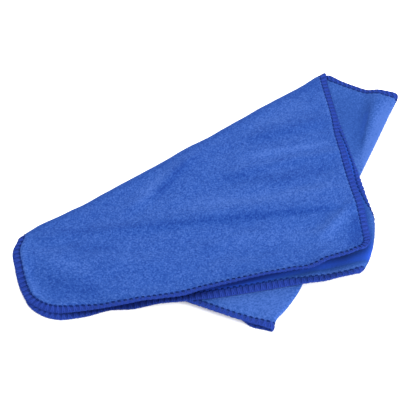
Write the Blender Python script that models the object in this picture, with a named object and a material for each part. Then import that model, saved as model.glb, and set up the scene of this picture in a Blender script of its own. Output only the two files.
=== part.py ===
"""A microfibre cleaning cloth, lying as it was put down after two folds.

The cloth is one rounded rectangle. It is first folded in half across its length, then the
doubled cloth is folded over again on a slant, so four layers lie on each other:

    top flap      the end that shows, its hems all round
    under flap    the other end, just proud of the top flap's hems
    middle layer  joined to the under flap by the inner slant fold
    base layer    joined to the top flap by the outer slant fold, flat on the surface

Middle and base join at the half fold on the right. Sizes are in millimetres here, measured in
plan from the middle of the laid cloth. "Far" is the side hem away from the viewer.
"""

import math

import bpy
from mathutils import Matrix, Vector

MM = 0.001

CLOTH_WIDTH = 300.0
SHEET = 1.8  # thickness of the knitted cloth with its pile pressed down
AIR = 0.5  # between two layers
PITCH = SHEET + AIR
CORNER_RADIUS = 28.0
PINCHED_CORNER_RADIUS = 8.0  # the top flap's right corner is drawn to a point

# Where each fold and each flap's end hem starts (far) and ends (near), before corners are
# rounded. Every edge leaves its straight line by bow in the middle, positive to the left of
# the way it is drawn, and lean moves that sag towards the edge's start (-1) or its end (1). A
# dent is a local departure to the left, at a share of the edge, as wide as a share of it.
SLANT_FOLD = dict(far=(102.6, 150.8), near=(-168.6, -63.6), bow=2.6, lean=0.2)
HALF_FOLD = dict(
    far=(165.8, 127.2), near=(39.3, -156.8), bow=5.2, lean=0.0,
    dent=dict(at=0.965, depth=-2.6, width=0.03),
)
TOP_END = dict(far=(129.8, -73.0), near=(-149.0, -145.0), bow=9.5, lean=-0.35)
UNDER_END = dict(
    far=(146.0, -89.0), near=(-149.0, -148.0), bow=5.4, lean=-0.3,
    dent=dict(at=0.80, depth=-3.4, width=0.05),
)

# Each layer runs out from the slant fold to its end edge between two side hems. Slide is how
# far its hems have crept along the slant fold, because the cloth crosses that fold askew.
LAYERS = {
    "top flap": dict(
        end=TOP_END, slide=0.0,
        far_hem=dict(bow=1.0, lean=0.0), near_hem=dict(bow=-6.8, lean=-0.7),
    ),
    "under flap": dict(
        end=UNDER_END, slide=4.2,
        far_hem=dict(bow=-3.8, lean=-0.6), near_hem=dict(bow=-6.8, lean=-0.4),
    ),
    "middle": dict(
        end=HALF_FOLD, slide=6.3,
        far_hem=dict(bow=-2.2, lean=0.0), near_hem=dict(bow=-2.4, lean=0.0),
    ),
    "base": dict(
        end=HALF_FOLD, slide=6.5,
        far_hem=dict(bow=-2.2, lean=0.0),
        near_hem=dict(bow=3.0, lean=0.0, dent=dict(at=0.95, depth=-3.0, width=0.05)),
    ),
}

# Where the flaps step down off the doubled cloth beneath them.
STEP_STARTS = 6.0
STEP_ENDS = 30.0

# The half fold stands open towards its two hems and lies pressed where the flaps cover it.
PUFFS = [
    dict(height=4.2, from_y=36.0, to_y=128.0, narrow=7.0, wide=30.0),
    dict(height=1.2, from_y=-112.0, to_y=-150.0, narrow=8.0, wide=16.0),
]

# The under flap's right corner is curled under along a quarter of an oval. It lies on its own
# hem there, so both flaps are held up beside the curl.
CURL = dict(
    centre=(98.0, -30.0), reach=(36.0, 76.0), radius=2.0, shoulder=60.0,
    rises_right=(50.0, 104.0), rises_down=(-20.0, 26.0),
)

# Soft ridges of the top flap, from end to end in plan. The first holds its end hem up.
RIDGES = [
    dict(start=(-25, -112), end=(118, -78), height=3.4, width=14.0),
    dict(start=(-80, -48), end=(116, -8), height=1.7, width=12.0),
    dict(start=(5, 30), end=(100, 58), height=1.5, width=12.0),
    dict(start=(35, 74), end=(96, 90), height=1.2, width=11.0),
    dict(start=(-10, 42), end=(-38, -6), height=1.3, width=12.0),
    dict(start=(84, -66), end=(112, -36), height=1.0, width=11.0),
    dict(start=(-150, -88), end=(-70, -76), height=1.2, width=13.0),
]

# Stations along a strand of the cloth, and strands across it. The under flap's stations crowd
# towards its end by a power, and strands crowd at the corners, most of all at the curl.
STATIONS = {"top flap": 23, "under flap": 28, "middle": 9, "base": 5}
CROWDING = {"top flap": 1.2, "under flap": 1.6, "middle": 1.0, "base": 1.0}
OUTER_TURN_STEPS = 6
INNER_TURN_STEPS = 5
FAR_CORNER_STRANDS = 8
BODY_STRANDS = 16
NEAR_CORNER_STRANDS = 5


def smooth(x, start, end):
    """0 before start, 1 past end, and an even S between them."""
    share = min(1.0, max(0.0, (x - start) / (end - start)))
    return share * share * (3.0 - 2.0 * share)


def left_of(start, end):
    """The unit vector to the left of the way from start to end."""
    return Vector((start.y - end.y, end.x - start.x)).normalized()


def sag(edge, share):
    """How far an edge leaves its straight line at a share of its length."""
    arch = share * (1.0 - share)
    total = 4.0 * edge["bow"] * arch * (1.0 + edge["lean"] * (2.0 * share - 1.0))
    dent = edge.get("dent")
    if dent:
        at = dent["at"]
        near = math.exp(-(((share - at) / dent["width"]) ** 2))
        total += dent["depth"] * near * arch / (at * (1.0 - at))
    return total


def edge_point(edge, share):
    far, near = Vector(edge["far"]), Vector(edge["near"])
    return far.lerp(near, share) + left_of(far, near) * sag(edge, share)


def beyond(point, edge):
    """How far a point lies to the left of an edge; less than 0 on its right."""
    far, near = Vector(edge["far"]), Vector(edge["near"])
    along = (point - far).dot(near - far) / (near - far).length_squared
    share = min(1.0, max(0.0, along))
    return left_of(far, near).dot(point - far) - sag(edge, share)


def side_hem(layer, side):
    """A layer's far or near side hem as an edge from the slant fold to the layer's end."""
    far, near = Vector(SLANT_FOLD["far"]), Vector(SLANT_FOLD["near"])
    at_fold = (far if side == "far" else near) + (far - near).normalized() * layer["slide"]
    return dict(layer[side + "_hem"], far=at_fold, near=Vector(layer["end"][side]))


def plan(layer, out, across):
    """Where a point of a layer lies in plan: out runs from the slant fold (0) to the layer's
    end (1), across from the far side hem (0) to the near one (1)."""
    far_hem, near_hem = side_hem(layer, "far"), side_hem(layer, "near")
    fold = dict(SLANT_FOLD, far=far_hem["far"], near=near_hem["far"])
    along_fold = edge_point(fold, across).lerp(edge_point(layer["end"], across), out)
    along_hems = edge_point(far_hem, out).lerp(edge_point(near_hem, out), across)
    fold_side = far_hem["far"].lerp(near_hem["far"], across)
    end_side = far_hem["near"].lerp(near_hem["near"], across)
    return along_fold + along_hems - fold_side.lerp(end_side, out)


def ridge_height(ridge, point):
    start, end = Vector(ridge["start"]), Vector(ridge["end"])
    along = (point - start).dot(end - start) / (end - start).length_squared
    off = left_of(start, end).dot(point - start)
    fade = smooth(along, -0.15, 0.3) * (1.0 - smooth(along, 0.7, 1.15))
    return ridge["height"] * fade * math.exp(-((off / ridge["width"]) ** 2))


def puff_height(point):
    """How far the middle layer stands up beside the half fold above its pressed height."""
    inside = -beyond(point, HALF_FOLD)
    total = 0.0
    for puff in PUFFS:
        opened = smooth((point.y - puff["from_y"]) / (puff["to_y"] - puff["from_y"]), 0.0, 1.0)
        reach = puff["narrow"] + (puff["wide"] - puff["narrow"]) * opened
        total += puff["height"] * opened * (1.0 - smooth(inside, 0.1 * reach, reach))
    return total


def bed_share(point):
    """1 where a flap lies on the doubled cloth, 0 where it has come down to the surface."""
    past_hem = -beyond(point, side_hem(LAYERS["middle"], "near"))
    past_fold = beyond(point, HALF_FOLD)
    from_slant = beyond(point, SLANT_FOLD)
    off = max(past_hem, past_fold)
    return 1.0 - smooth(off, STEP_STARTS, STEP_ENDS) * smooth(from_slant, STEP_STARTS, STEP_ENDS)


def curl_place(point):
    """How far a point lies outside the curl's quarter oval, and the way out from it there. Left
    of the oval's centre only the way down counts."""
    arm = point - Vector(CURL["centre"])
    reach_x, reach_y = CURL["reach"]
    right, down = max(arm.x, 0.0) / reach_x, min(arm.y, 0.0) / reach_y
    size = math.hypot(right, down)
    if size < 0.05:
        return -reach_x, Vector((1.0, 0.0))
    slope = Vector((right / (size * reach_x), down / (size * reach_y)))
    return (size - 1.0) / slope.length, slope.normalized()


def curl_lift(point):
    """How high the under flap is held above the surface beside the curl."""
    past, _ = curl_place(point)
    beside = smooth(point.x, *CURL["rises_right"]) * smooth(-point.y, *CURL["rises_down"])
    return 2.0 * CURL["radius"] * beside * (1.0 - smooth(-past, CURL["radius"], CURL["shoulder"]))


def height(name, point):
    """Height of a layer's middle surface above the table."""
    base = SHEET / 2.0
    if name == "base":
        return base
    if name == "middle":
        return base + PITCH + puff_height(point)
    bed = (2.0 * PITCH + puff_height(point)) * bed_share(point)
    lying = base + (bed**4 + curl_lift(point) ** 4) ** 0.25
    if name == "top flap":
        lying += PITCH + sum(ridge_height(ridge, point) for ridge in RIDGES)
    return lying


def curled(point):
    """Rolls a point of the under flap round the curl: its new place in plan, and its drop."""
    past, out = curl_place(point)
    radius = CURL["radius"]
    rolled = past + radius
    if rolled <= 0.0 or point.x <= CURL["centre"][0]:
        return point, 0.0
    turned = min(math.pi, rolled / radius)
    flat = rolled - turned * radius
    return point + out * (radius * math.sin(turned) - flat - rolled), radius * (1.0 - math.cos(turned))


def trim(radius, across_mm):
    """How far a rounded corner cuts into a strand that lies across_mm from the side hem."""
    inset = max(0.0, radius - across_mm)
    return radius - math.sqrt(radius * radius - inset * inset)


def flap_cut(name, across):
    """The share of a strand at which the flap's rounded end hem cuts it off."""
    far_mm = across * CLOTH_WIDTH
    near_mm = CLOTH_WIDTH - far_mm
    far_radius = PINCHED_CORNER_RADIUS if name == "top flap" else CORNER_RADIUS
    cut = trim(far_radius, far_mm) + trim(CORNER_RADIUS, near_mm)
    layer = LAYERS[name]
    strand = plan(layer, 1.0, across) - plan(layer, 0.0, across)
    return 1.0 - cut / strand.length


def layer_points(name, across):
    """One strand's points on a layer, from the slant fold outwards."""
    layer = LAYERS[name]
    end = flap_cut(name, across) if name.endswith("flap") else 1.0
    points = []
    for i in range(STATIONS[name] + 1):
        out = end * (1.0 - (1.0 - i / STATIONS[name]) ** CROWDING[name])
        spot = plan(layer, out, across)
        z = height(name, spot)
        if name == "under flap":
            spot, drop = curled(spot)
            z -= drop
        points.append(Vector((spot.x, spot.y, z)))
    return points


def turn(upper, lower, outward, steps):
    """The points strictly between upper and lower on a half turn that bulges outward."""
    centre_z = (upper.z + lower.z) / 2.0
    radius = (upper.z - lower.z) / 2.0
    points = []
    for i in range(1, steps):
        angle = math.pi * i / steps
        flat = upper.xy.lerp(lower.xy, i / steps) + outward * (radius * math.sin(angle))
        points.append(Vector((flat.x, flat.y, centre_z + radius * math.cos(angle))))
    return points


def strand(across):
    """The cloth's middle surface along one strand, from the top flap's hem to the under flap's."""
    slant_out = -left_of(Vector(SLANT_FOLD["far"]), Vector(SLANT_FOLD["near"]))
    half_out = left_of(Vector(HALF_FOLD["far"]), Vector(HALF_FOLD["near"]))
    top = layer_points("top flap", across)
    base = layer_points("base", across)
    middle = layer_points("middle", across)
    under = layer_points("under flap", across)
    points = top[::-1]
    points += turn(top[0], base[0], slant_out, OUTER_TURN_STEPS)
    points += base
    points += turn(middle[-1], base[-1], half_out, INNER_TURN_STEPS)[::-1]
    points += middle[::-1]
    points += turn(under[0], middle[0], slant_out, INNER_TURN_STEPS)[::-1]
    points += under
    return points


def corner_shares(strands):
    """Shares of the width at which strands cross a rounded corner, closest at the side hem."""
    corner = CORNER_RADIUS / CLOTH_WIDTH
    return [corner * (1.0 - math.cos(math.pi / 2.0 * i / strands)) for i in range(strands)]


def strand_places():
    """Shares of the width at which strands lie, from the far side hem to the near one."""
    corner = CORNER_RADIUS / CLOTH_WIDTH
    body = [corner + (1.0 - 2.0 * corner) * i / BODY_STRANDS for i in range(BODY_STRANDS + 1)]
    near = [1.0 - share for share in reversed(corner_shares(NEAR_CORNER_STRANDS))]
    return corner_shares(FAR_CORNER_STRANDS) + body + near


def fabric():
    material = bpy.data.materials.new("royal_blue_microfibre")
    material.use_nodes = True
    shader = material.node_tree.nodes["Principled BSDF"]
    shader.inputs["Base Color"].default_value = (0.045, 0.130, 0.560, 1.0)
    shader.inputs["Roughness"].default_value = 0.92
    shader.inputs["Metallic"].default_value = 0.0
    material.diffuse_color = (0.045, 0.130, 0.560, 1.0)
    return material


def folded_cloth():
    """The whole cloth as one closed sheet: the strands skinned, then given their thickness."""
    rows = [strand(share) for share in strand_places()]
    per_row = len(rows[0])
    faces = [
        (r * per_row + i, r * per_row + i + 1, (r + 1) * per_row + i + 1, (r + 1) * per_row + i)
        for r in range(len(rows) - 1)
        for i in range(per_row - 1)
    ]
    mesh = bpy.data.meshes.new("cloth")
    mesh.from_pydata([point * MM for row in rows for point in row], [], faces)
    mesh.materials.append(fabric())
    mesh.shade_smooth()
    cloth = bpy.data.objects.new("cloth", mesh)
    bpy.context.scene.collection.objects.link(cloth)
    solidify = cloth.modifiers.new("thickness", "SOLIDIFY")
    solidify.thickness = SHEET * MM
    solidify.offset = 0.0
    return cloth


def centre_in_plan(cloth):
    """Slides the mesh sideways until the middle of the laid cloth's box is at X = Y = 0."""
    laid = cloth.evaluated_get(bpy.context.evaluated_depsgraph_get())
    corners = [Vector(corner) for corner in laid.bound_box]
    middle_x = sum(corner.x for corner in corners) / len(corners)
    middle_y = sum(corner.y for corner in corners) / len(corners)
    cloth.data.transform(Matrix.Translation((-middle_x, -middle_y, 0.0)))


def main():
    for old in list(bpy.data.objects):
        bpy.data.objects.remove(old)
    centre_in_plan(folded_cloth())


main()
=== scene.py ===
import math

import bpy
import numpy as np
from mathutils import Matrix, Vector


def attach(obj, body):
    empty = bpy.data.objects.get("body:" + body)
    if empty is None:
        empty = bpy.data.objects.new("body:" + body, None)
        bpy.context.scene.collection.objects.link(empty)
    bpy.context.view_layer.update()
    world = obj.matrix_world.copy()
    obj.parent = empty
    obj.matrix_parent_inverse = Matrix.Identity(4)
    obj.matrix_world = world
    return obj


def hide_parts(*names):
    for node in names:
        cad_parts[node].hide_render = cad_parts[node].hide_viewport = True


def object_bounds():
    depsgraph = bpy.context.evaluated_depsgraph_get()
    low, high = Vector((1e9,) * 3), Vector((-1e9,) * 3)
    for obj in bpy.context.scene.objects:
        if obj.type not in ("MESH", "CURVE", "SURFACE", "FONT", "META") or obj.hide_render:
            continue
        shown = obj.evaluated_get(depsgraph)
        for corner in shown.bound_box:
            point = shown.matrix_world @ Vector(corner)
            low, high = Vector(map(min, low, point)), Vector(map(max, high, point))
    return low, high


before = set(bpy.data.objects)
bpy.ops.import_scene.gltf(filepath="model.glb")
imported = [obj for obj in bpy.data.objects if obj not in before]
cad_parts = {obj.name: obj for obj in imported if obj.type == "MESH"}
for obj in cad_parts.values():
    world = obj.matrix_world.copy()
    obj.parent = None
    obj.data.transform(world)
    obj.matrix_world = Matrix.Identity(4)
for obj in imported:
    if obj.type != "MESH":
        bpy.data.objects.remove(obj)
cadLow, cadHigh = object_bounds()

mm = 0.001

# The camera looks down at 45 degrees, as the photo was taken. Lengths are in mm.
camera = dict(lookAt=(-15.2, -7.3, 0.0), distance=1218.0, elevation=45.0, lens=126.0, sensor=36.0)


def addCamera():
    data = bpy.data.cameras.new("camera")
    data.lens = camera["lens"]
    data.sensor_width = camera["sensor"]
    eye = bpy.data.objects.new("camera", data)
    rise = math.radians(camera["elevation"])
    x, y, z = camera["lookAt"]
    away = camera["distance"]
    eye.location = (x * mm, (y - away * math.cos(rise)) * mm, (z + away * math.sin(rise)) * mm)
    eye.rotation_euler = (math.pi / 2 - rise, 0.0, 0.0)
    bpy.context.scene.collection.objects.link(eye)
    bpy.context.scene.camera = eye
    print("camera set")


# The cloth's sizes in mm, in plan from near the laid cloth's middle. Far is away from the viewer.
# An edge runs from far to near. It sags by bow to its left, and lean moves the sag to one end.
# Dents are local sags: share of the edge, depth, width as a share.
cloth = dict(
    width=300.0, sheet=1.8, air=0.5,
    place=(1.7, 0.0),  # from the plan's own middle to the frame's
    corners=dict(topFar=12.0, underFar=28.0, underNear=28.0, topNear=28.0),
    foldCorner=0.1,  # nearly square, where a hem meets the half fold
    slantFold=dict(
        far=(101.2, 152.8), near=(-168.6, -63.6), bow=2.6, lean=0.2,
        dents=[(0.07, 1.5, 0.05), (0.96, -1.6, 0.045)],
    ),
    halfFold=dict(
        far=(164.2, 126.0), near=(38.3, -155.8), bow=5.0, lean=0.0,
        dents=[(0.86, 1.8, 0.06), (0.97, -2.0, 0.03)],
    ),
    topEnd=dict(far=(129.8, -73.0), near=(-149.0, -145.0), bow=9.5, lean=-0.35),
    underEnd=dict(
        far=(146.0, -89.0), near=(-149.0, -148.0), bow=5.4, lean=-0.3,
        dents=[(0.80, -3.4, 0.05)],
    ),
    # slide is how far a layer's side hems have crept along the slant fold
    layers=dict(
        top=dict(
            end="topEnd", slide=0.0,
            farHem=dict(bow=1.0, lean=0.0), nearHem=dict(bow=-6.8, lean=-0.7),
        ),
        under=dict(
            end="underEnd", slide=4.2,
            farHem=dict(bow=-3.8, lean=-0.6), nearHem=dict(bow=-6.8, lean=-0.4),
        ),
        middle=dict(
            end="halfFold", slide=6.3,
            farHem=dict(bow=-2.4, lean=0.0), nearHem=dict(bow=-2.4, lean=0.0),
        ),
        base=dict(
            end="halfFold", slide=6.5,
            farHem=dict(bow=-2.4, lean=0.0),
            nearHem=dict(bow=3.0, lean=0.0, dents=[(0.95, -3.0, 0.05)]),
        ),
    ),
    # how far past the doubled cloth the flaps start to come down off it, and are down
    steps=dict(top=(16.0, 40.0), under=(6.0, 30.0)),
    # swells of the doubled cloth along the half fold
    puffs=[
        dict(height=5.2, fromY=36.0, toY=128.0, narrow=7.0, wide=30.0),
        dict(height=1.2, fromY=-112.0, toY=-150.0, narrow=8.0, wide=16.0),
    ],
    # near the fold the swell sinks by a share, and inwards it falls off over shares of its reach
    crown=dict(sinks=0.5, within=11.0, fromY=98.0, toY=126.0, starts=0.38, ends=0.95),
    # the under flap's right side is rolled under along an oval
    curl=dict(
        centre=(98.0, -30.0), reach=(33.6, 76.0), lean=0.18, radius=2.0, shoulder=60.0,
        risesRight=(50.0, 104.0), risesDown=(-20.0, 26.0), blend=4.0,
    ),
    # shares of its way where a ridge, crease or stroke fades in and out
    ridgeStart=(-0.15, 0.3), ridgeEnd=(0.7, 1.15),
    # broad ridges of the top flap: start, end, height, width
    ridges=[
        ((-25, -112), (118, -78), 3.4, 14.0),
        ((-80, -48), (116, -8), 1.7, 12.0),
        ((5, 30), (100, 58), 1.5, 12.0),
        ((35, 74), (96, 90), 1.2, 11.0),
        ((-10, 42), (-38, -6), 1.3, 12.0),
        ((84, -66), (112, -36), 1.0, 11.0),
        ((-150, -88), (-70, -76), 1.2, 13.0),
    ],
    # crisper creases of the top flap: start, end, height, width on the left, on the right
    creases=[
        ((-152, -62), (-82, -54), 1.5, 9.0, 5.0),
        ((-100, -57), (-22, -45), 1.7, 11.0, 3.2),
        ((-36, -47), (34, -34), 2.2, 13.0, 3.0),
        ((22, -37), (112, -22), 2.2, 15.0, 3.2),
        ((60, -12), (114, 0), 1.3, 9.0, 6.0),
        ((6, 13), (66, 32), 1.9, 8.0, 5.0),
        ((50, 29), (112, 43), 2.1, 6.5, 5.0),
        ((20, 60), (100, 84), 1.7, 13.0, 6.0),
        ((-18, 43), (-50, 4), 2.2, 4.5, 9.0),
        ((-38, 14), (-84, -36), 1.6, 6.0, 10.0),
        ((20, 0), (96, 12), 1.0, 9.0, 6.0),
        ((120, -14), (82, -64), 2.2, 5.0, 6.0),
        ((-110, -98), (-40, -90), 1.3, 12.0, 8.0),
    ],
    # creases of the middle layer where it shows
    middleCreases=[
        ((142, 122), (126, 50), -1.2, 3.0, 9.0),
    ],
    # painted light (+) and painted shade (-) on the nap, where its creases, folds and hems
    # catch or lose the light: start, end, how much, width on the left, on the right
    strokes=dict(
        # painted light and shade along the top flap's ridges and creases
        top=[
            ((-52, -31), (112, -4), 1.1, 13.0, 6.0),
            ((5, 25), (101, 53), 0.6, 9.0, 3.5),
            ((20, 36), (97, 54), 1.6, 3.5, 3.0),
            ((82, -72), (110, -30), 1.6, 5.0, 6.0),
            ((118, -32), (112, -74), -2.4, 6.0, 6.0),
            ((0, -64), (90, -56), 0.7, 12.0, 12.0),
            ((-73, -24), (-46, 20), 1.3, 5.0, 7.0),
            ((-58, -16), (-26, 32), -1.7, 4.0, 5.0),
            ((30, 73), (87, 111), 0.8, 10.0, 8.0),
            ((0, 12), (62, 8), -1.1, 5.0, 7.0),
            ((46, 7), (100, 26), -1.3, 5.0, 7.0),
            ((23, 57), (104, 92), -0.9, 8.0, 9.0),
            ((-149, -59), (-10, -43), -1.3, 5.0, 3.5),
            ((-30, -45), (112, -25), -1.6, 2.6, 4.0),
            ((-132, -75), (-84, -74), -1.0, 5.0, 5.0),
            ((-145, -85), (-105, -97), 0.7, 10.0, 10.0),
            ((-143, -107), (-96, -122), -1.2, 7.0, 6.0),
            ((60, 130), (104, 140), -0.9, 12.0, 12.0),
        ],
        # painted highlight on the half fold, painted shade beside it, painted light near the hem
        middle=[
            ((164, 122), (124, 20), 3.0, 12.0, 8.5),
            ((142, 116), (127, 46), -2.0, 1.5, 8.0),
            ((118, 128), (118, 66), -0.6, 16.0, 16.0),
            ((-10, -118), (70, -136), 1.2, 34.0, 34.0),
        ],
        # painted light below the top flap's hem and painted shadow right under its edge
        under=[
            ((0, -104), (130, -74), 3.0, 16.0, 16.0),
            ((-30, -124), (150, -71), -7.0, 12.0, 5.0),
            ((114, 78), (123, -12), -3.6, 2.2, 8.0),
            ((124, -2), (128, -78), -2.4, 1.6, 8.0),
        ],
    ),
    # painted shadow on the under flap and its threads, beneath the top flap's hem:
    # start, end, how much, width on the left, on the right
    paintedHemShadows=[
        ((-125, -137), (-12, -121), 1.0, 8.0, 4.0),
        ((-28, -124), (112, -75), 1.1, 8.0, 3.4),
    ],
    wrinkle=dict(
        height=0.35, seed=11, waves=26, shortest=16.0, longest=60.0, heading=102.0, spread=0.55,
    ),
    # how the hems lie, in rows along each edge from its far end: share of the edge, mm pushed out,
    # mm raised at the needle line, mm the edge tips up past that, mm the nap swells by the band
    hemRows=dict(
        top=dict(
            end=[
                (0.00, -5.0, 0.0, 2.4, 0.0), (0.05, -2.2, 0.0, 4.8, 0.0),
                (0.09, 0.4, 0.0, 5.6, 0.0), (0.14, 1.6, -0.3, 5.8, 0.0),
                (0.21, 4.2, -1.5, 6.2, 0.0), (0.27, 1.6, -1.7, 6.2, 0.0),
                (0.34, 0.8, -1.7, 6.4, 0.0), (0.46, 1.0, -1.7, 6.2, 0.0),
                (0.52, 1.2, -1.5, 4.8, 0.1), (0.585, 3.2, -0.8, 3.2, 0.3),
                (0.65, 3.8, 0.0, 4.4, 0.3), (0.72, 3.8, 0.0, 5.6, 0.3),
                (0.80, 2.2, 0.0, 5.0, 0.4), (0.87, -0.6, 0.0, 1.2, 0.8),
                (0.94, -3.0, 0.0, -1.2, 1.0),
            ],
            far=[
                (0.0, 1.4, -0.4, -0.4, 0.0), (0.06, 0.2, 0.2, -4.0, 0.5),
                (0.24, 0.0, 0.5, -5.0, 0.7), (0.38, -2.0, 0.2, -3.4, 0.6),
                (0.5, -2.2, 0.0, -2.0, 0.4), (0.65, -1.8, 0.0, -1.2, 0.3),
                (0.8, -0.8, 0.0, -1.6, 0.2), (0.9, -1.6, 0.0, -2.4, 0.1),
                (1.0, -4.2, 0.0, 0.0, 0.1),
            ],
            near=[
                (0.0, 1.2, -0.6, -0.6, 0.4), (0.12, 2.0, -0.4, -1.0, 1.2),
                (0.35, 0.3, 0.0, -1.0, 1.8), (0.7, 1.2, 0.0, -1.2, 2.0),
                (0.85, 0.4, 0.0, -1.2, 2.0), (1.0, 0.2, 0.0, -1.4, 1.0),
            ],
        ),
        middle=dict(
            far=[
                (0.0, -0.6, 0.8, 0.0, 0.0), (0.08, -0.4, 1.0, -0.8, 0.0),
                (0.2, 0.0, 0.8, -1.8, 0.0), (0.85, 0.0, 0.8, -1.8, 0.0),
                (1.0, 0.0, 0.0, 0.0, 0.0),
            ],
            near=[
                (0.0, 0.4, 0.0, 0.4, 0.0), (0.5, 1.0, -0.1, 2.0, 0.0), (0.85, 2.0, -0.3, 3.6, 0.0),
                (1.0, 1.4, -0.2, 3.2, 0.0),
            ],
        ),
        base=dict(
            near=[
                (0.0, 0.0, 0.0, 0.0, 0.0), (0.5, -1.0, 0.0, 0.0, 0.0), (0.84, -2.2, 0.0, 0.0, 0.0),
                (0.94, -1.2, 0.0, 0.0, 0.0), (1.0, -0.6, 0.0, 0.0, 0.0),
            ],
        ),
        under=dict(
            far=[
                (0.00, 0.0, 0.0, 0.0, 0.0), (0.18, 0.0, 0.0, 0.0, 0.0), (0.42, 4.0, 0.0, 0.0, 0.0),
                (0.48, 3.8, 0.0, 0.0, 0.0), (0.62, 0.4, 0.0, 0.0, 0.0), (0.78, 4.5, 0.0, 0.0, 0.0),
                (1.00, 4.5, 0.0, 0.0, 0.0),
            ],
            end=[
                (0.00, 0.6, 0.0, 2.2, 0.0), (0.15, 1.0, 0.0, 2.8, 0.0),
                (0.25, 0.6, 0.0, 1.2, 0.0), (0.32, -1.0, 1.0, -1.8, 0.0),
                (0.50, -0.4, 1.4, -2.2, 0.0), (0.60, -1.0, 0.0, 0.0, 0.0),
                (0.68, -2.6, 0.0, 0.0, 0.0), (0.77, -1.8, 0.0, 0.0, 0.0),
                (0.88, -0.8, 0.0, 0.0, 0.0), (1.00, 0.0, 0.0, 0.0, 0.0),
            ],
        ),
    ),
    # how far in from the edge each of these starts and reaches
    hemReach=dict(
        pushFrom=2.0, push=32.0, riseFrom=4.0, rise=24.0, tip=8.0, tipPower=1.5, tipMost=1.2,
        swellAt=7.8, swellOut=1.2, swellIn=3.6, corner=30.0,
    ),
    # steps of the mesh along a strand, strands between the hems, and the finer steps of the fold
    stations=dict(top=112, outerTurn=10, base=15, halfTurn=10, middle=46, innerTurn=7, under=76),
    strandsInside=128,
    fineSteps=dict(
        top=220, outerTurn=24, base=80, halfTurn=24, middle=110, innerTurn=20, under=240,
    ),
    fineSpacing=0.25,
)

hem = dict(
    needle=6.2,  # from the edge in to the needle line
    insets=(0.0, 0.8, 2.3, 4.0, 5.3, 6.2, 7.1, 8.2, 9.6, 11.4),  # rows of the mesh along an edge
    bandThickness=1.15, grooveDepth=0.35, grooveWidth=0.8,
    edgeShare=0.45, edgeWidth=1.0, bandEnds=2.2,  # thinner at the edge, whole past the needle line
)


def smooth(x, start, end):
    share = np.clip((x - start) / (end - start), 0.0, 1.0)
    return share * share * (3.0 - 2.0 * share)


def lerp(a, b, share):
    return a + (b - a) * np.asarray(share)[..., None]


def leftOf(far, near):
    way = near - far
    return np.array((-way[1], way[0])) / np.hypot(*way)


def ends(edge):
    return np.array(edge["far"], float), np.array(edge["near"], float)


def sag(edge, share):
    arch = share * (1.0 - share)
    total = 4.0 * edge["bow"] * arch * (1.0 + edge["lean"] * (2.0 * share - 1.0))
    for at, depth, width in edge.get("dents", []):
        total = total + depth * np.exp(-(((share - at) / width) ** 2)) * arch / (at * (1.0 - at))
    return total


def edgePoint(edge, share):
    far, near = ends(edge)
    return lerp(far, near, share) + leftOf(far, near) * sag(edge, np.asarray(share))[..., None]


def beyond(point, edge):  # how far a point lies to the left of an edge
    far, near = ends(edge)
    along = (point - far) @ (near - far) / ((near - far) @ (near - far))
    return (point - far) @ leftOf(far, near) - sag(edge, np.clip(along, 0.0, 1.0))


def sideHem(layer, side):
    far, near = ends(cloth["slantFold"])
    corner = far if side == "far" else near
    start = corner + (far - near) / np.hypot(*(far - near)) * layer["slide"]
    return dict(layer[side + "Hem"], far=start, near=cloth[layer["end"]][side])


def plan(layer, out, across):
    # out is 0 at the slant fold and 1 at the layer's end; across is 0 at the far side and 1 near
    farHem, nearHem = sideHem(layer, "far"), sideHem(layer, "near")
    farStart, farEnd = ends(farHem)
    nearStart, nearEnd = ends(nearHem)
    fold = dict(cloth["slantFold"], far=farStart, near=nearStart)
    alongFold = lerp(edgePoint(fold, across), edgePoint(cloth[layer["end"]], across), out)
    alongHems = lerp(edgePoint(farHem, out), edgePoint(nearHem, out), across)
    foldSide = lerp(farStart, nearStart, across)
    endSide = lerp(farEnd, nearEnd, across)
    return alongFold + alongHems - lerp(foldSide, endSide, out)


def ridgeHeight(point, start, end, height, leftWidth, rightWidth):
    start, end = np.array(start, float), np.array(end, float)
    along = (point - start) @ (end - start) / ((end - start) @ (end - start))
    off = (point - start) @ leftOf(start, end)
    width = np.where(off > 0.0, leftWidth, rightWidth)
    fade = smooth(along, *cloth["ridgeStart"]) * (1.0 - smooth(along, *cloth["ridgeEnd"]))
    return height * fade * np.exp(-((off / width) ** 2))


def strokeShade(name, point):
    return sum(ridgeHeight(point, *stroke) for stroke in cloth["strokes"][name])


def hemShadowShare(sheet, x, y, spot):  # painted shadow under the top flap's hem, 1 where darkest
    under = y > np.interp(x, sheet["places"], sheet["breaks"][:, 5])
    return under * np.minimum(1.0, sum(ridgeHeight(spot, *hemShadow) for hemShadow in cloth["paintedHemShadows"]))


def puffHeight(point):
    inside = -beyond(point, cloth["halfFold"])
    crown = cloth["crown"]
    fallen = 1.0 - smooth(inside, 0.0, crown["within"])
    fallen = fallen * (1.0 - smooth(point[..., 1], crown["fromY"], crown["toY"]))
    left = 1.0 - crown["sinks"] * fallen
    total = 0.0
    for puff in cloth["puffs"]:
        opened = smooth((point[..., 1] - puff["fromY"]) / (puff["toY"] - puff["fromY"]), 0.0, 1.0)
        reach = puff["narrow"] + (puff["wide"] - puff["narrow"]) * opened
        side = 1.0 - smooth(inside, crown["starts"] * reach, crown["ends"] * reach)
        total = total + puff["height"] * opened * left * side
    return total


def bedShare(name, point):  # 1 where a flap lies on the doubled cloth, 0 on the table
    pastHem = -beyond(point, sideHem(cloth["layers"]["middle"], "near"))
    pastFold = beyond(point, cloth["halfFold"])
    fromSlant = beyond(point, cloth["slantFold"])
    start, end = cloth["steps"][name]
    return 1.0 - smooth(np.maximum(pastHem, pastFold), start, end) * smooth(fromSlant, start, end)


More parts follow.
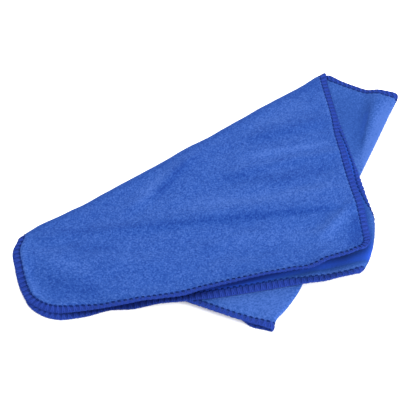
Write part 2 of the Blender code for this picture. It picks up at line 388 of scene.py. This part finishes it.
def curlPlace(point):  # how far a point is past the roll's line, and the way out from it
    curl = cloth["curl"]
    reachX, reachY = curl["reach"]
    above = np.maximum(point[..., 1] - curl["centre"][1], 0.0)
    right = np.maximum(point[..., 0] - curl["centre"][0] + curl["lean"] * above, 0.0) / reachX
    down = np.minimum(point[..., 1] - curl["centre"][1], 0.0) / reachY
    size = np.hypot(right, down)
    clear = size < 0.05  # too near the middle to have a way out
    size = np.where(clear, 1.0, size)
    leaning = curl["lean"] * (above > 0.0) * right / (size * reachX)
    slope = np.stack([right / (size * reachX), down / (size * reachY) + leaning], axis=-1)
    steepness = np.where(clear, 1.0, np.hypot(slope[..., 0], slope[..., 1]))
    past = np.where(clear, -reachX, (size - 1.0) / steepness)
    return past, slope / steepness[..., None]


def curlLift(point):  # the flaps are held up beside the roll
    curl = cloth["curl"]
    past, _ = curlPlace(point)
    beside = smooth(point[..., 0], *curl["risesRight"])
    beside = beside * smooth(-point[..., 1], *curl["risesDown"])
    return 2.0 * curl["radius"] * beside * (1.0 - smooth(-past, curl["radius"], curl["shoulder"]))


def wrinkles(point):  # faint waves that run mostly along the cloth's long way on the table
    w = cloth["wrinkle"]
    draw = np.random.RandomState(w["seed"])
    total = 0.0
    for _ in range(w["waves"]):
        length = w["shortest"] * (w["longest"] / w["shortest"]) ** draw.rand()
        heading = math.radians(w["heading"]) + w["spread"] * draw.randn()
        phase = 2.0 * math.pi * draw.rand()
        travel = point[..., 0] * math.cos(heading) + point[..., 1] * math.sin(heading)
        total = total + length * np.sin(2.0 * math.pi * travel / length + phase)
    return w["height"] * total / (w["longest"] * 0.5 * math.sqrt(w["waves"]))


def hemSides(name, point):
    # the way in from a layer's edge, and for each hem: its rows, weight, share along it, way out
    layer = cloth["layers"][name]
    rows = cloth["hemRows"].get(name, {})
    reach = cloth["hemReach"]["corner"]
    depth, sides = {}, []
    for side in ("far", "end", "near"):
        edge = cloth[layer["end"]] if side == "end" else sideHem(layer, side)
        inwards = 1.0 if side == "near" else -1.0
        depth[side] = inwards * beyond(point, edge)
        far, near = ends(edge)
        share = (point - far) @ (near - far) / ((near - far) @ (near - far))
        sides.append((side, share, -inwards * leftOf(far, near)))
    closeness = {side: np.maximum(reach - value, 0.0) ** 2 for side, value in depth.items()}
    total = sum(closeness.values()) + 1e-9
    inset = np.minimum(np.minimum(depth["far"], depth["near"]), depth["end"])
    for side in ("far", "near"):
        radius = cloth["corners"].get(name + side.capitalize(), cloth["foldCorner"])
        dx, dy = depth[side], depth["end"]
        inCorner = (dx < radius) & (dy < radius)
        inset = np.where(inCorner, radius - np.hypot(radius - dx, radius - dy), inset)
    return inset, [
        (rows[side], closeness[side] / total, share, out)
        for side, share, out in sides if side in rows
    ]


def rowValue(rows, share, column):  # smooth steps from row to row
    at = np.array([row[0] for row in rows])
    values = np.array([row[column] for row in rows])
    i = np.clip(np.searchsorted(at, share) - 1, 0, len(at) - 2)
    step = smooth(share, at[i], at[i + 1])
    return values[i] + (values[i + 1] - values[i]) * step


def hemPush(name, point):
    reach = cloth["hemReach"]
    inset, sides = hemSides(name, point)
    fade = 1.0 - smooth(inset, reach["pushFrom"], reach["push"])
    push = np.zeros_like(point)
    for rows, weight, share, out in sides:
        push = push + out * (rowValue(rows, share, 1) * weight * fade)[..., None]
    return push


def hemLift(name, point):  # the whole lift, and the part of it that is swollen nap
    reach = cloth["hemReach"]
    inset, sides = hemSides(name, point)
    rise = 1.0 - smooth(inset, reach["riseFrom"], reach["rise"])
    tip = np.clip(1.0 - inset / reach["tip"], 0.0, reach["tipMost"]) ** reach["tipPower"]
    off = inset - reach["swellAt"]
    swell = np.exp(-((off / np.where(off < 0.0, reach["swellOut"], reach["swellIn"])) ** 2))
    lift, swollen = 0.0, 0.0
    for rows, weight, share, _ in sides:
        swollen = swollen + rowValue(rows, share, 4) * swell * weight
        lift = lift + (rowValue(rows, share, 2) * rise + rowValue(rows, share, 3) * tip) * weight
    return lift + swollen, swollen


def height(name, point):  # of a layer's middle surface above the table
    pitch = cloth["sheet"] + cloth["air"]
    lowest = cloth["sheet"] / 2.0
    if name == "base":
        return lowest + 0.0 * point[..., 0]
    if name == "middle":
        lying = lowest + pitch + puffHeight(point)
        for crease in cloth["middleCreases"]:
            lying = lying + ridgeHeight(point, *crease)
        return lying
    bed = (2.0 * pitch + puffHeight(point)) * bedShare(name, point)
    blend = cloth["curl"]["blend"]  # the higher of the two, with no edge where they change over
    lying = lowest + (bed**blend + curlLift(point) ** blend) ** (1.0 / blend)
    if name == "top":
        lying = lying + pitch + 2.0 * cloth["wrinkle"]["height"] + wrinkles(point)
        for start, end, tall, wide in cloth["ridges"]:
            lying = lying + ridgeHeight(point, start, end, tall, wide, wide)
        for crease in cloth["creases"]:
            lying = lying + ridgeHeight(point, *crease)
    return lying


def curled(point):  # where the roll takes a point of the under flap in plan, and how far down
    past, out = curlPlace(point)
    radius = cloth["curl"]["radius"]
    rolled = np.maximum(past + radius, 0.0) * (point[..., 0] > cloth["curl"]["centre"][0])
    turned = np.minimum(math.pi, rolled / radius)
    flat = rolled - turned * radius
    shift = radius * np.sin(turned) - flat - rolled
    return point + out * shift[..., None], radius * (1.0 - np.cos(turned))


def layerLine(name, across):  # a layer's middle surface, strand by strand
    steps = cloth["fineSteps"][name]
    out = np.broadcast_to(np.linspace(0.0, 1.0, steps + 1), (len(across), steps + 1))
    spot = plan(cloth["layers"][name], out, np.broadcast_to(across[:, None], out.shape))
    lift = hemLift(name, spot)[0]
    spot = spot + hemPush(name, spot)
    z = height(name, spot) + lift
    if name == "under":
        spot, drop = curled(spot)
        z = z - drop
    return np.concatenate([spot, z[..., None]], axis=-1)


def turn(name, upper, lower, outward):  # the half circle that joins two layers at a fold
    steps = cloth["fineSteps"][name]
    middleZ = (upper[:, 2] + lower[:, 2]) / 2.0
    radius = (upper[:, 2] - lower[:, 2]) / 2.0
    points = []
    for i in range(1, steps):
        angle = math.pi * i / steps
        flat = lerp(upper[:, :2], lower[:, :2], np.full(len(upper), i / steps))
        flat = flat + outward * (radius * math.sin(angle))[:, None]
        points.append(np.column_stack([flat, middleZ + radius * math.cos(angle)]))
    return np.stack(points, axis=1)


def strandPlaces():  # where the strands cross the cloth's width, closer along both hems
    insets = np.array(hem["insets"])
    inside = np.linspace(insets[-1], cloth["width"] - insets[-1], cloth["strandsInside"] + 1)
    return np.concatenate([insets[:-1], inside, (cloth["width"] - insets[:-1])[::-1]])


def foldedSheet():
    # the middle surface, strand by strand: flat lengths along each, and closely spaced points
    places = strandPlaces()
    across = places / cloth["width"]
    slantOut = -leftOf(*ends(cloth["slantFold"]))
    halfOut = leftOf(*ends(cloth["halfFold"]))
    layers = ("top", "base", "middle", "under")
    top, base, middle, under = (layerLine(name, across) for name in layers)
    parts = [
        top[:, ::-1],
        turn("outerTurn", top[:, 0], base[:, 0], slantOut),
        base,
        turn("halfTurn", middle[:, -1], base[:, -1], halfOut)[:, ::-1],
        middle[:, ::-1],
        turn("innerTurn", under[:, 0], middle[:, 0], slantOut)[:, ::-1],
        under,
    ]
    line = np.concatenate(parts, axis=1) + (*cloth["place"], 0.0)
    steps = np.linalg.norm(np.diff(line, axis=1), axis=2)
    walked = np.concatenate([np.zeros((len(places), 1)), np.cumsum(steps, axis=1)], axis=1)
    length = walked[:, -1].mean()
    walked = walked * (length / walked[:, -1:])
    # layers start and end where the turns do: at the last point of one part, the first of the next
    counts = np.cumsum([part.shape[1] for part in parts])
    joins = [counts[0] - 1, counts[1], counts[2] - 1, counts[3], counts[4] - 1, counts[5]]
    breaks = walked[:, joins]
    ys = np.linspace(0.0, length, int(length / cloth["fineSpacing"]) + 1)
    sheet = np.empty((len(places), len(ys), 3))
    for i in range(len(places)):
        for k in range(3):
            sheet[i, :, k] = np.interp(ys, walked[i], line[i, :, k])
    return dict(places=places, length=length, breaks=breaks, points=sheet, step=ys[1])


def clothPoint(sheet, x, y):  # the middle surface at a place of the flat cloth
    places, points = sheet["places"], sheet["points"]
    x = np.clip(x, 0.0, cloth["width"])
    y = np.clip(y, 0.0, sheet["length"])
    i = np.clip(np.searchsorted(places, x, side="right") - 1, 0, len(places) - 2)
    u = ((x - places[i]) / (places[i + 1] - places[i]))[..., None]
    j = np.clip((y / sheet["step"]).astype(int), 0, points.shape[1] - 2)
    v = (y / sheet["step"] - j)[..., None]
    near = points[i, j] * (1.0 - v) + points[i, j + 1] * v
    far = points[i + 1, j] * (1.0 - v) + points[i + 1, j + 1] * v
    return near * (1.0 - u) + far * u


def clothFrame(sheet, x, y, reach=0.7):  # along x, along y, and the normal of one side
    alongX = clothPoint(sheet, x + reach, y) - clothPoint(sheet, x - reach, y)
    alongY = clothPoint(sheet, x, y + reach) - clothPoint(sheet, x, y - reach)
    alongX = alongX / np.linalg.norm(alongX, axis=-1, keepdims=True)
    alongY = alongY / np.linalg.norm(alongY, axis=-1, keepdims=True)
    normal = np.cross(alongX, alongY)
    normal = normal / np.linalg.norm(normal, axis=-1, keepdims=True)
    return alongX, alongY, normal


def hemInset(sheet, x, y):  # distance in from the cloth's rounded outline, less than 0 outside it
    width, length = cloth["width"], sheet["length"]
    inset = np.minimum(np.minimum(x, width - x), np.minimum(y, length - y))
    for name, radius in cloth["corners"].items():
        dx = x if name.endswith("Far") else width - x
        dy = y if name.startswith("top") else length - y
        inCorner = (dx < radius) & (dy < radius)
        inset = np.where(inCorner, radius - np.hypot(radius - dx, radius - dy), inset)
    return inset


def trimmed(radius, fromSide):  # how far a rounded corner cuts into a strand
    inset = np.maximum(0.0, radius - fromSide)
    return radius - np.sqrt(radius * radius - inset * inset)


def sheetThickness(inset):
    whole, band = cloth["sheet"], hem["bandThickness"]
    thick = band + (whole - band) * smooth(inset, hem["needle"], hem["needle"] + hem["bandEnds"])
    groove = np.exp(-(((inset - hem["needle"]) / hem["grooveWidth"]) ** 2))
    thick = thick - hem["grooveDepth"] * groove
    edge = hem["edgeShare"]
    return thick * (edge + (1.0 - edge) * smooth(inset, 0.0, hem["edgeWidth"]))


def newPiece(name, points, faces, attributes=None):
    mesh = bpy.data.meshes.new(name)
    mesh.vertices.add(len(points))
    mesh.vertices.foreach_set("co", (np.asarray(points) * mm).ravel())
    mesh.loops.add(faces.size)
    mesh.loops.foreach_set("vertex_index", faces.ravel().astype(np.int32))
    mesh.polygons.add(len(faces))
    starts = np.arange(0, faces.size, faces.shape[1], dtype=np.int32)
    mesh.polygons.foreach_set("loop_start", starts)
    mesh.update(calc_edges=True)
    mesh.validate()
    for key, values in (attributes or {}).items():
        kind = "FLOAT_VECTOR" if values.ndim == 2 else "FLOAT"
        mesh.attributes.new(key, kind, "POINT").data.foreach_set(
            "vector" if values.ndim == 2 else "value", values.astype(np.float32).ravel())
    mesh.shade_smooth()
    piece = bpy.data.objects.new(name, mesh)
    bpy.context.scene.collection.objects.link(piece)
    return piece


def stationPlaces(sheet):
    # where the mesh's rows cross each strand, in flat length: closer at the end hems and folds
    places, breaks, length = sheet["places"], sheet["breaks"], sheet["length"]
    count, corner, width = cloth["stations"], cloth["corners"], cloth["width"]
    topCut = trimmed(corner["topFar"], places) + trimmed(corner["topNear"], width - places)
    underCut = trimmed(corner["underFar"], places) + trimmed(corner["underNear"], width - places)
    insets = np.array(hem["insets"])
    topHem = topCut[:, None] + insets
    underHem = (length - underCut)[:, None] - insets
    runs = [topHem[:, :-1]]

    def run(start, end, steps):
        share = np.linspace(0.0, 1.0, steps + 1)[:-1]
        runs.append(start[:, None] + (end - start)[:, None] * share)

    run(topHem[:, -1], breaks[:, 0], count["top"])
    run(breaks[:, 0], breaks[:, 1], count["outerTurn"])
    run(breaks[:, 1], breaks[:, 2], count["base"])
    run(breaks[:, 2], breaks[:, 3], count["halfTurn"])
    run(breaks[:, 3], breaks[:, 4], count["middle"])
    run(breaks[:, 4], breaks[:, 5], count["innerTurn"])
    run(breaks[:, 5], underHem[:, -1], count["under"])
    runs.append(underHem[:, ::-1])
    return np.concatenate(runs, axis=1)


# how the nap lies, and where painted light and shade are laid on it
brushingAndPaintedShade = dict(
    pressed=0.65, change=6.0,  # how much flatter the nap is below the top flap, over how many mm
    swell=0.6, swellFrom=10.0,  # painted highlight where the nap swells, short of the slant fold
    foldShade=1.3, foldWidth=4.0,  # painted shade along the slant fold
    otherSide=40.0,  # mm between the nap's pattern on the sheet's two sides
)


def addCloth(sheet):
    y = stationPlaces(sheet)
    x = np.broadcast_to(sheet["places"][:, None], y.shape)
    middle = clothPoint(sheet, x, y)
    normal = clothFrame(sheet, x, y)[2]
    inset = hemInset(sheet, x, y)
    half = normal * (sheetThickness(inset) / 2.0)[..., None]
    rows, perRow = y.shape
    upper, lower = (middle + half).reshape(-1, 3), (middle - half).reshape(-1, 3)
    index = np.arange(rows * perRow).reshape(rows, perRow)
    corners = [index[:-1, :-1], index[1:, :-1], index[1:, 1:], index[:-1, 1:]]
    quads = np.stack(corners, axis=-1).reshape(-1, 4)
    rim = np.concatenate([index[:, 0], index[-1, 1:], index[-2::-1, -1], index[0, -2:0:-1]])
    after = np.roll(rim, -1)
    below = rows * perRow
    sides = np.stack([rim, rim + below, after + below, after], axis=-1)
    faces = np.concatenate([quads, (quads + below)[:, ::-1], sides])
    # the nap is brushed up most on the top flap, and pressed on the layers below it
    b, breaks = brushingAndPaintedShade, sheet["breaks"]
    fold = breaks[:, :1]
    nap = 1.0 - b["pressed"] * smooth(y, fold - b["change"], fold + b["change"])
    spot = middle[..., :2] - cloth["place"]
    # painted light and shade from the strokes, layer by layer
    shade = np.where(y < fold, strokeShade("top", spot), 0.0)
    onMiddle = (y > breaks[:, 2:3]) & (y < breaks[:, 4:5])
    shade = np.where(onMiddle, strokeShade("middle", spot), shade)
    onUnder = (y > breaks[:, 5:]) & (y < sheet["length"])
    shade = np.where(onUnder, strokeShade("under", spot), shade)
    # a painted highlight on the nap that swells beside the top flap's hems
    shade = shade + np.where(y < fold - b["swellFrom"], b["swell"] * hemLift("top", spot)[1], 0.0)
    # painted shade along the slant fold's turn
    shade = shade - b["foldShade"] * np.exp(-(((y - fold) / b["foldWidth"]) ** 2))
    flat = np.stack([x, y, np.zeros_like(x)], axis=-1).reshape(-1, 3)
    attributes = dict(
        flatPlace=np.concatenate([flat, flat + (0.0, 0.0, b["otherSide"])]) * mm,
        nap=np.tile(nap.ravel(), 2),
        shade=np.tile(shade.ravel(), 2),
        # painted shadow beneath the top flap's hem
        hemShadow=np.tile(hemShadowShare(sheet, x, y, spot).ravel(), 2),
        hemInset=np.tile(inset.ravel(), 2) * mm,
    )
    piece = newPiece("foldedCloth", np.concatenate([upper, lower]), faces, attributes)
    print("cloth made:", 2 * len(faces), "triangles")
    return piece


# Overlock stitches run round all four hems. Each thread's path over one stitch:
# share of the stitch length, mm in from the edge, mm above the sheet's middle.
stitches = dict(
    length=4.9, sides=6,
    upperLooper=dict(
        wide=1.45, tall=0.58,
        path=[
            (-0.24, -0.35, -0.05), (-0.20, 0.3, 0.60), (-0.15, 1.8, 0.86), (-0.12, 3.6, 0.90),
            (-0.10, 5.0, 0.84), (-0.05, 6.0, 0.66), (0.00, 6.4, 0.50), (0.05, 6.0, 0.66),
            (0.10, 5.0, 0.84), (0.12, 3.6, 0.90), (0.15, 1.8, 0.86), (0.20, 0.3, 0.60),
            (0.24, -0.35, -0.05), (0.50, -0.45, -0.12),
        ],
    ),
    lowerLooper=dict(
        wide=1.45, tall=0.58,
        path=[
            (0.26, -0.3, 0.05), (0.30, 0.3, -0.60), (0.35, 1.8, -0.86), (0.38, 3.6, -0.90),
            (0.40, 5.0, -0.84), (0.45, 6.0, -0.66), (0.50, 6.4, -0.50), (0.55, 6.0, -0.66),
            (0.60, 5.0, -0.84), (0.62, 3.6, -0.90), (0.65, 1.8, -0.86), (0.70, 0.3, -0.60),
            (0.74, -0.3, 0.05),
        ],
    ),
    needle=dict(
        wide=1.45, tall=0.62,
        path=[
            (-0.18, 6.7, -0.95), (0.18, 6.7, -0.95), (0.23, 6.7, -0.50), (0.27, 6.7, 0.50),
            (0.32, 6.7, 0.95), (0.68, 6.7, 0.95), (0.73, 6.7, 0.50), (0.77, 6.7, -0.50),
        ],
    ),
)


def hemRoute(sheet):  # the four straight sides and the rounded corner after each, in flat lengths
    width, length, corner = cloth["width"], sheet["length"], cloth["corners"]
    a, b, c, d = corner["topFar"], corner["underFar"], corner["underNear"], corner["topNear"]
    return [
        dict(
            start=(0.0, a), way=(0, 1), inward=(1, 0), long=length - a - b,
            centre=(b, length - b), radius=b,
        ),
        dict(
            start=(b, length), way=(1, 0), inward=(0, -1), long=width - b - c,
            centre=(width - c, length - c), radius=c,
        ),
        dict(
            start=(width, length - c), way=(0, -1), inward=(-1, 0), long=length - c - d,
            centre=(width - d, d), radius=d,
        ),
        dict(
            start=(width - d, 0.0), way=(-1, 0), inward=(0, 1), long=width - d - a,
            centre=(a, a), radius=a,
        ),
    ]


def hemPlace(route, along, inset):  # flat place and direction of travel at a length round the hem
    place, heading = np.zeros(along.shape + (2,)), np.zeros(along.shape + (2,))
    walked = 0.0
    for side in route:
        way, inward = np.array(side["way"], float), np.array(side["inward"], float)
        here = (along >= walked) & (along < walked + side["long"])
        straight = np.array(side["start"]) + way * (along - walked)[..., None]
        straight = straight + inward * inset[..., None]
        place = np.where(here[..., None], straight, place)
        heading = np.where(here[..., None], way, heading)
        walked += side["long"]
        arc = side["radius"] * math.pi / 2.0
        here = (along >= walked) & (along < walked + arc)
        angle = ((along - walked) / side["radius"])[..., None]
        outward = -inward * np.cos(angle) + way * np.sin(angle)
        bent = np.array(side["centre"]) + outward * (side["radius"] - inset)[..., None]
        place = np.where(here[..., None], bent, place)
        heading = np.where(here[..., None], way * np.cos(angle) + inward * np.sin(angle), heading)
        walked += arc
    return place, heading


def routeLength(route):
    return sum(side["long"] + side["radius"] * math.pi / 2.0 for side in route)


def addThread(sheet, route, name, thread):
    total = routeLength(route)
    count = round(total / stitches["length"])
    share, inset, lift = np.array(thread["path"]).T
    along = (((np.arange(count)[:, None] + share) * total / count) % total).ravel()
    inset, lift = np.tile(inset, count), np.tile(lift, count)
    place, heading = hemPlace(route, along, inset)
    alongX, alongY, normal = clothFrame(sheet, place[:, 0], place[:, 1])
    travel = alongX * heading[:, :1] + alongY * heading[:, 1:]
    inward = alongX * -heading[:, 1:] + alongY * heading[:, :1]
    over = np.minimum(inset, 0.0)  # outside the edge, where the sheet ends
    points = clothPoint(sheet, place[:, 0], place[:, 1])
    points = points + normal * lift[:, None] + inward * over[:, None]
    ahead = np.roll(points, -1, axis=0) - np.roll(points, 1, axis=0)
    ahead /= np.linalg.norm(ahead, axis=1, keepdims=True)
    # a looper's thread is wide along the hem, upright on the rim; the needle's is wide across it
    alongEdge = np.where(inset[:, None] < 0.0, normal, travel)
    reference = inward if inset.min() > 0.0 else alongEdge
    side = reference - ahead * (reference * ahead).sum(axis=1, keepdims=True)
    side /= np.linalg.norm(side, axis=1, keepdims=True)
    across = np.cross(ahead, side)
    angle = 2.0 * math.pi * np.arange(stitches["sides"]) / stitches["sides"]
    ring = (
        points[:, None]
        + side[:, None] * (np.cos(angle) * thread["wide"] / 2.0)[None, :, None]
        + across[:, None] * (np.sin(angle) * thread["tall"] / 2.0)[None, :, None]
    )
    rings, around = ring.shape[:2]
    index = np.arange(rings * around).reshape(rings, around)
    following, beside = np.roll(index, -1, axis=0), np.roll(index, -1, axis=1)
    corner = np.roll(following, -1, axis=1)
    faces = np.stack([index, beside, corner, following], axis=-1).reshape(-1, 4)
    # painted shadow on the threads beneath the top flap's hem
    hemShadow = hemShadowShare(sheet, place[:, 0], place[:, 1], points[:, :2] - cloth["place"])
    piece = newPiece(name, ring.reshape(-1, 3), faces, dict(hemShadow=np.repeat(hemShadow, around)))
    print(name, "made:", count, "stitches,", 2 * len(faces), "triangles")
    return piece


# Brushed nap has tufts that lean apart and pressed nap is nearly even. Painted shade turns the
# nap beneath the top flap's hem a deeper, bluer colour. Cloud, lump, tuft, grain and fluff each
# have a size in metres, a detail and a roughness.
microfibre = dict(
    deep=(0.0048, 0.0248, 0.1544), mid=(0.0136, 0.0480, 0.2096), pale=(0.0352, 0.0832, 0.2848),
    pressed=(0.0088, 0.0352, 0.1560), pressedMid=(0.0144, 0.0488, 0.1960),
    # the last colour is painted shade, the deeper and bluer nap beneath the top flap's hem
    hemShade=(0.0080, 0.0232, 0.1600), paintedShadowBlue=(0.0128, 0.0544, 0.3840),
    roughness=0.95, specular=0.05, sheen=0.10, sheenTint=(0.35, 0.55, 1.0), sheenRoughness=0.45,
    cloud=(0.020, 2.0, 0.5), lump=(0.0042, 3.0, 0.6),
    tuft=(0.0015, 2.0, 0.6), grain=(0.0008, 1.0, 0.5),
    # how far painted light and shade moves the nap's colour, and how much more on pressed nap
    cloudShare=0.06, lumpShare=0.15, tuftShare=0.79, brushingAndPaintedShade=0.062, pressedPaintedShade=2.5,
    # how deep painted shade must go before the nap turns to the painted shadow blue
    brushedRange=(0.315, 0.685), pressedRange=(0.2, 0.8), paintedShadowRange=(-1.5, -4.5),
    band=(0.0050, 0.0072),  # metres in from the edge where the nap starts and is whole
    bump=0.5, bumpDepth=0.0016, lumpBump=0.5, tuftBump=0.8, grainBump=0.25, pressedBump=0.12,
)
hemShadowTint = (0.40, 0.42, 0.56)  # painted shadow: the colour left beneath the top flap's hem
threadColour = dict(
    looper=dict(dark=(0.0096, 0.0248, 0.1664), pale=(0.0184, 0.0424, 0.2304)),
    # the needle's dark dashes are partly the thread's colour, partly painted shade in its holes
    needle=dict(dark=(0.0032, 0.0104, 0.0800), pale=(0.0072, 0.0208, 0.1200)),
    roughness=0.9, fluff=(0.0007, 2.0, 0.6), fluffRange=(0.3, 0.7), bump=0.4, bumpDepth=0.0003,
)


def newMaterial(name):
    material = bpy.data.materials.new(name)
    material.use_nodes = True
    tree = material.node_tree
    return material, tree, tree.nodes["Principled BSDF"]


def node(tree, kind, **settings):
    made = tree.nodes.new(kind)
    for key, value in settings.items():
        setattr(made, key, value)
    return made


def noise(tree, place, size, detail, rough):
    made = node(tree, "ShaderNodeTexNoise")
    made.inputs["Scale"].default_value = 1.0 / size
    made.inputs["Detail"].default_value = detail
    made.inputs["Roughness"].default_value = rough
    tree.links.new(place, made.inputs["Vector"])
    return made.outputs["Fac"]


def ramp(tree, value, stops):
    made = node(tree, "ShaderNodeValToRGB")
    elements = made.color_ramp.elements
    while len(elements) < len(stops):
        elements.new(0.5)
    for element, (position, colour) in zip(elements, stops):
        element.position = position
        element.color = (*colour, 1.0)
    tree.links.new(value, made.inputs["Fac"])
    return made.outputs["Color"]


def mathNode(tree, operation, a, b=None, c=None):
    made = node(tree, "ShaderNodeMath", operation=operation)
    for socket, value in zip(made.inputs, (a, b, c)):
        if value is None:
            continue
        if isinstance(value, (int, float)):
            socket.default_value = value
        else:
            tree.links.new(value, socket)
    return made.outputs["Value"]


def stretch(tree, value, fromMin, fromMax, toMin=0.0, toMax=1.0):
    made = node(tree, "ShaderNodeMapRange")
    numbers = {"From Min": fromMin, "From Max": fromMax, "To Min": toMin, "To Max": toMax}
    for key, number in numbers.items():
        made.inputs[key].default_value = number
    tree.links.new(value, made.inputs["Value"])
    return made.outputs["Result"]


def mixColour(tree, share, a, b, blend="MIX"):
    made = node(tree, "ShaderNodeMix", data_type="RGBA", blend_type=blend)
    factor = made.inputs[0]
    first, second = [s for s in made.inputs if s.type == "RGBA"]
    for socket, value in ((factor, share), (first, a), (second, b)):
        if isinstance(value, (int, float)):
            socket.default_value = value
        elif isinstance(value, tuple):
            socket.default_value = (*value, 1.0)
        else:
            tree.links.new(value, socket)
    return [s for s in made.outputs if s.type == "RGBA"][0]


def hemShadowed(tree, colour):  # painted shadow on the under flap beneath the top flap's hem
    share = node(tree, "ShaderNodeAttribute", attribute_name="hemShadow").outputs["Fac"]
    return mixColour(tree, share, colour, hemShadowTint, "MULTIPLY")


def microfibreMaterial():
    m = microfibre
    material, tree, shader = newMaterial("blueMicrofibre")
    place = node(tree, "ShaderNodeAttribute", attribute_name="flatPlace").outputs["Vector"]
    nap = node(tree, "ShaderNodeAttribute", attribute_name="nap").outputs["Fac"]
    shade = node(tree, "ShaderNodeAttribute", attribute_name="shade").outputs["Fac"]
    inset = node(tree, "ShaderNodeAttribute", attribute_name="hemInset").outputs["Fac"]
    clouds = noise(tree, place, *m["cloud"])
    lumps = noise(tree, place, *m["lump"])
    tufts = noise(tree, place, *m["tuft"])
    grain = noise(tree, place, *m["grain"])
    both = mathNode(tree, "MULTIPLY", tufts, m["tuftShare"])
    both = mathNode(tree, "ADD", mathNode(tree, "MULTIPLY", lumps, m["lumpShare"]), both)
    both = mathNode(tree, "MULTIPLY_ADD", clouds, m["cloudShare"], both)
    # painted light and shade of the strokes moves the brushed nap's colour
    both = mathNode(tree, "MULTIPLY_ADD", shade, m["brushingAndPaintedShade"], both)
    brushed = stretch(tree, both, *m["brushedRange"])
    brushed = ramp(tree, brushed, [(0.0, m["deep"]), (0.5, m["mid"]), (1.0, m["pale"])])
    # painted light and shade moves the pressed nap's colour more
    even = mathNode(tree, "MULTIPLY_ADD", shade, m["brushingAndPaintedShade"] * m["pressedPaintedShade"], tufts)
    even = stretch(tree, even, *m["pressedRange"])
    even = ramp(tree, even, [(0.0, m["pressed"]), (0.5, m["pressedMid"]), (1.0, m["pale"])])
    # deep painted shade turns the pressed nap to the painted shadow blue
    even = mixColour(tree, stretch(tree, shade, *m["paintedShadowRange"]), even, m["paintedShadowBlue"])
    body = mixColour(tree, nap, even, brushed)
    band = stretch(tree, inset, *m["band"])
    colour = mixColour(tree, band, m["hemShade"], body)
    tree.links.new(hemShadowed(tree, colour), shader.inputs["Base Color"])
    relief = mathNode(tree, "MULTIPLY", tufts, m["tuftBump"])
    relief = mathNode(tree, "ADD", mathNode(tree, "MULTIPLY", lumps, m["lumpBump"]), relief)
    relief = mathNode(tree, "ADD", relief, mathNode(tree, "MULTIPLY", grain, m["grainBump"]))
    depth = stretch(tree, nap, 0.0, 1.0, m["pressedBump"], 1.0)
    relief = mathNode(tree, "MULTIPLY", relief, depth)
    bump = node(tree, "ShaderNodeBump")
    bump.inputs["Strength"].default_value = m["bump"]
    bump.inputs["Distance"].default_value = m["bumpDepth"]
    tree.links.new(relief, bump.inputs["Height"])
    tree.links.new(bump.outputs["Normal"], shader.inputs["Normal"])
    shader.inputs["Roughness"].default_value = m["roughness"]
    shader.inputs["Specular IOR Level"].default_value = m["specular"]
    shader.inputs["Sheen Weight"].default_value = m["sheen"]
    shader.inputs["Sheen Roughness"].default_value = m["sheenRoughness"]
    shader.inputs["Sheen Tint"].default_value = (*m["sheenTint"], 1.0)
    return material


def threadMaterial(name, colours):
    t = threadColour
    material, tree, shader = newMaterial(name)
    place = node(tree, "ShaderNodeTexCoord").outputs["Object"]
    fluff = noise(tree, place, *t["fluff"])
    start, end = t["fluffRange"]
    colour = ramp(tree, fluff, [(start, colours["dark"]), (end, colours["pale"])])
    tree.links.new(hemShadowed(tree, colour), shader.inputs["Base Color"])
    bump = node(tree, "ShaderNodeBump")
    bump.inputs["Strength"].default_value = t["bump"]
    bump.inputs["Distance"].default_value = t["bumpDepth"]
    tree.links.new(fluff, bump.inputs["Height"])
    tree.links.new(bump.outputs["Normal"], shader.inputs["Normal"])
    shader.inputs["Roughness"].default_value = t["roughness"]
    shader.inputs["Specular IOR Level"].default_value = 0.0
    return material


studio = dict(
    floorSize=6000.0, floorDrop=0.6,
    floorColour=(0.97, 0.97, 0.97), floorRoughness=0.9, floorSpecular=0.1,
    worldColour=(1.0, 1.0, 1.0), world=1.66,
    keyFrom=(-320.0, 930.0, 920.0), keySize=1000.0, keyPower=12.5,
    fillFrom=(820.0, -760.0, 520.0), fillSize=700.0, fillPower=17.5,
)


def addFloor():
    reach = studio["floorSize"] / 2.0
    low = cadLow[2] / mm - studio["floorDrop"]  # just under the stitches
    corners = [(x * reach, y * reach, low) for x, y in ((-1, -1), (1, -1), (1, 1), (-1, 1))]
    floor = newPiece("floor", np.array(corners), np.array([[0, 1, 2, 3]]))
    material, _, shader = newMaterial("paleTable")
    shader.inputs["Base Color"].default_value = (*studio["floorColour"], 1.0)
    shader.inputs["Roughness"].default_value = studio["floorRoughness"]
    shader.inputs["Specular IOR Level"].default_value = studio["floorSpecular"]
    floor.data.materials.append(material)
    print("floor set")


def addAreaLight(name, place, size, power):
    data = bpy.data.lights.new(name, "AREA")
    data.shape = "DISK"
    data.size = size * mm
    data.energy = power
    lamp = bpy.data.objects.new(name, data)
    lamp.location = [v * mm for v in place]
    bpy.context.scene.collection.objects.link(lamp)
    lamp.rotation_mode = "QUATERNION"
    lamp.rotation_quaternion = lamp.location.to_track_quat("Z", "Y")


def addStudio():
    addFloor()
    world = bpy.data.worlds.new("studio")
    world.use_nodes = True
    background = world.node_tree.nodes["Background"]
    background.inputs["Color"].default_value = (*studio["worldColour"], 1.0)
    background.inputs["Strength"].default_value = studio["world"]
    scene = bpy.context.scene
    scene.world = world
    scene.view_settings.view_transform = "Standard"
    addAreaLight("keyLight", studio["keyFrom"], studio["keySize"], studio["keyPower"])
    addAreaLight("fillLight", studio["fillFrom"], studio["fillSize"], studio["fillPower"])
    print("lights set")


addCamera()
sheet = foldedSheet()
route = hemRoute(sheet)
foldedCloth = addCloth(sheet)
foldedCloth.data.materials.append(microfibreMaterial())
threads = [
    addThread(sheet, route, "upperLooperThread", stitches["upperLooper"]),
    addThread(sheet, route, "lowerLooperThread", stitches["lowerLooper"]),
    addThread(sheet, route, "needleThread", stitches["needle"]),
]
looperThread = threadMaterial("looperThread", threadColour["looper"])
for thread in threads[:2]:
    thread.data.materials.append(looperThread)
threads[2].data.materials.append(threadMaterial("needleThread", threadColour["needle"]))

for piece in [foldedCloth] + threads:
    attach(piece, "root")
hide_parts("cloth")
addStudio()
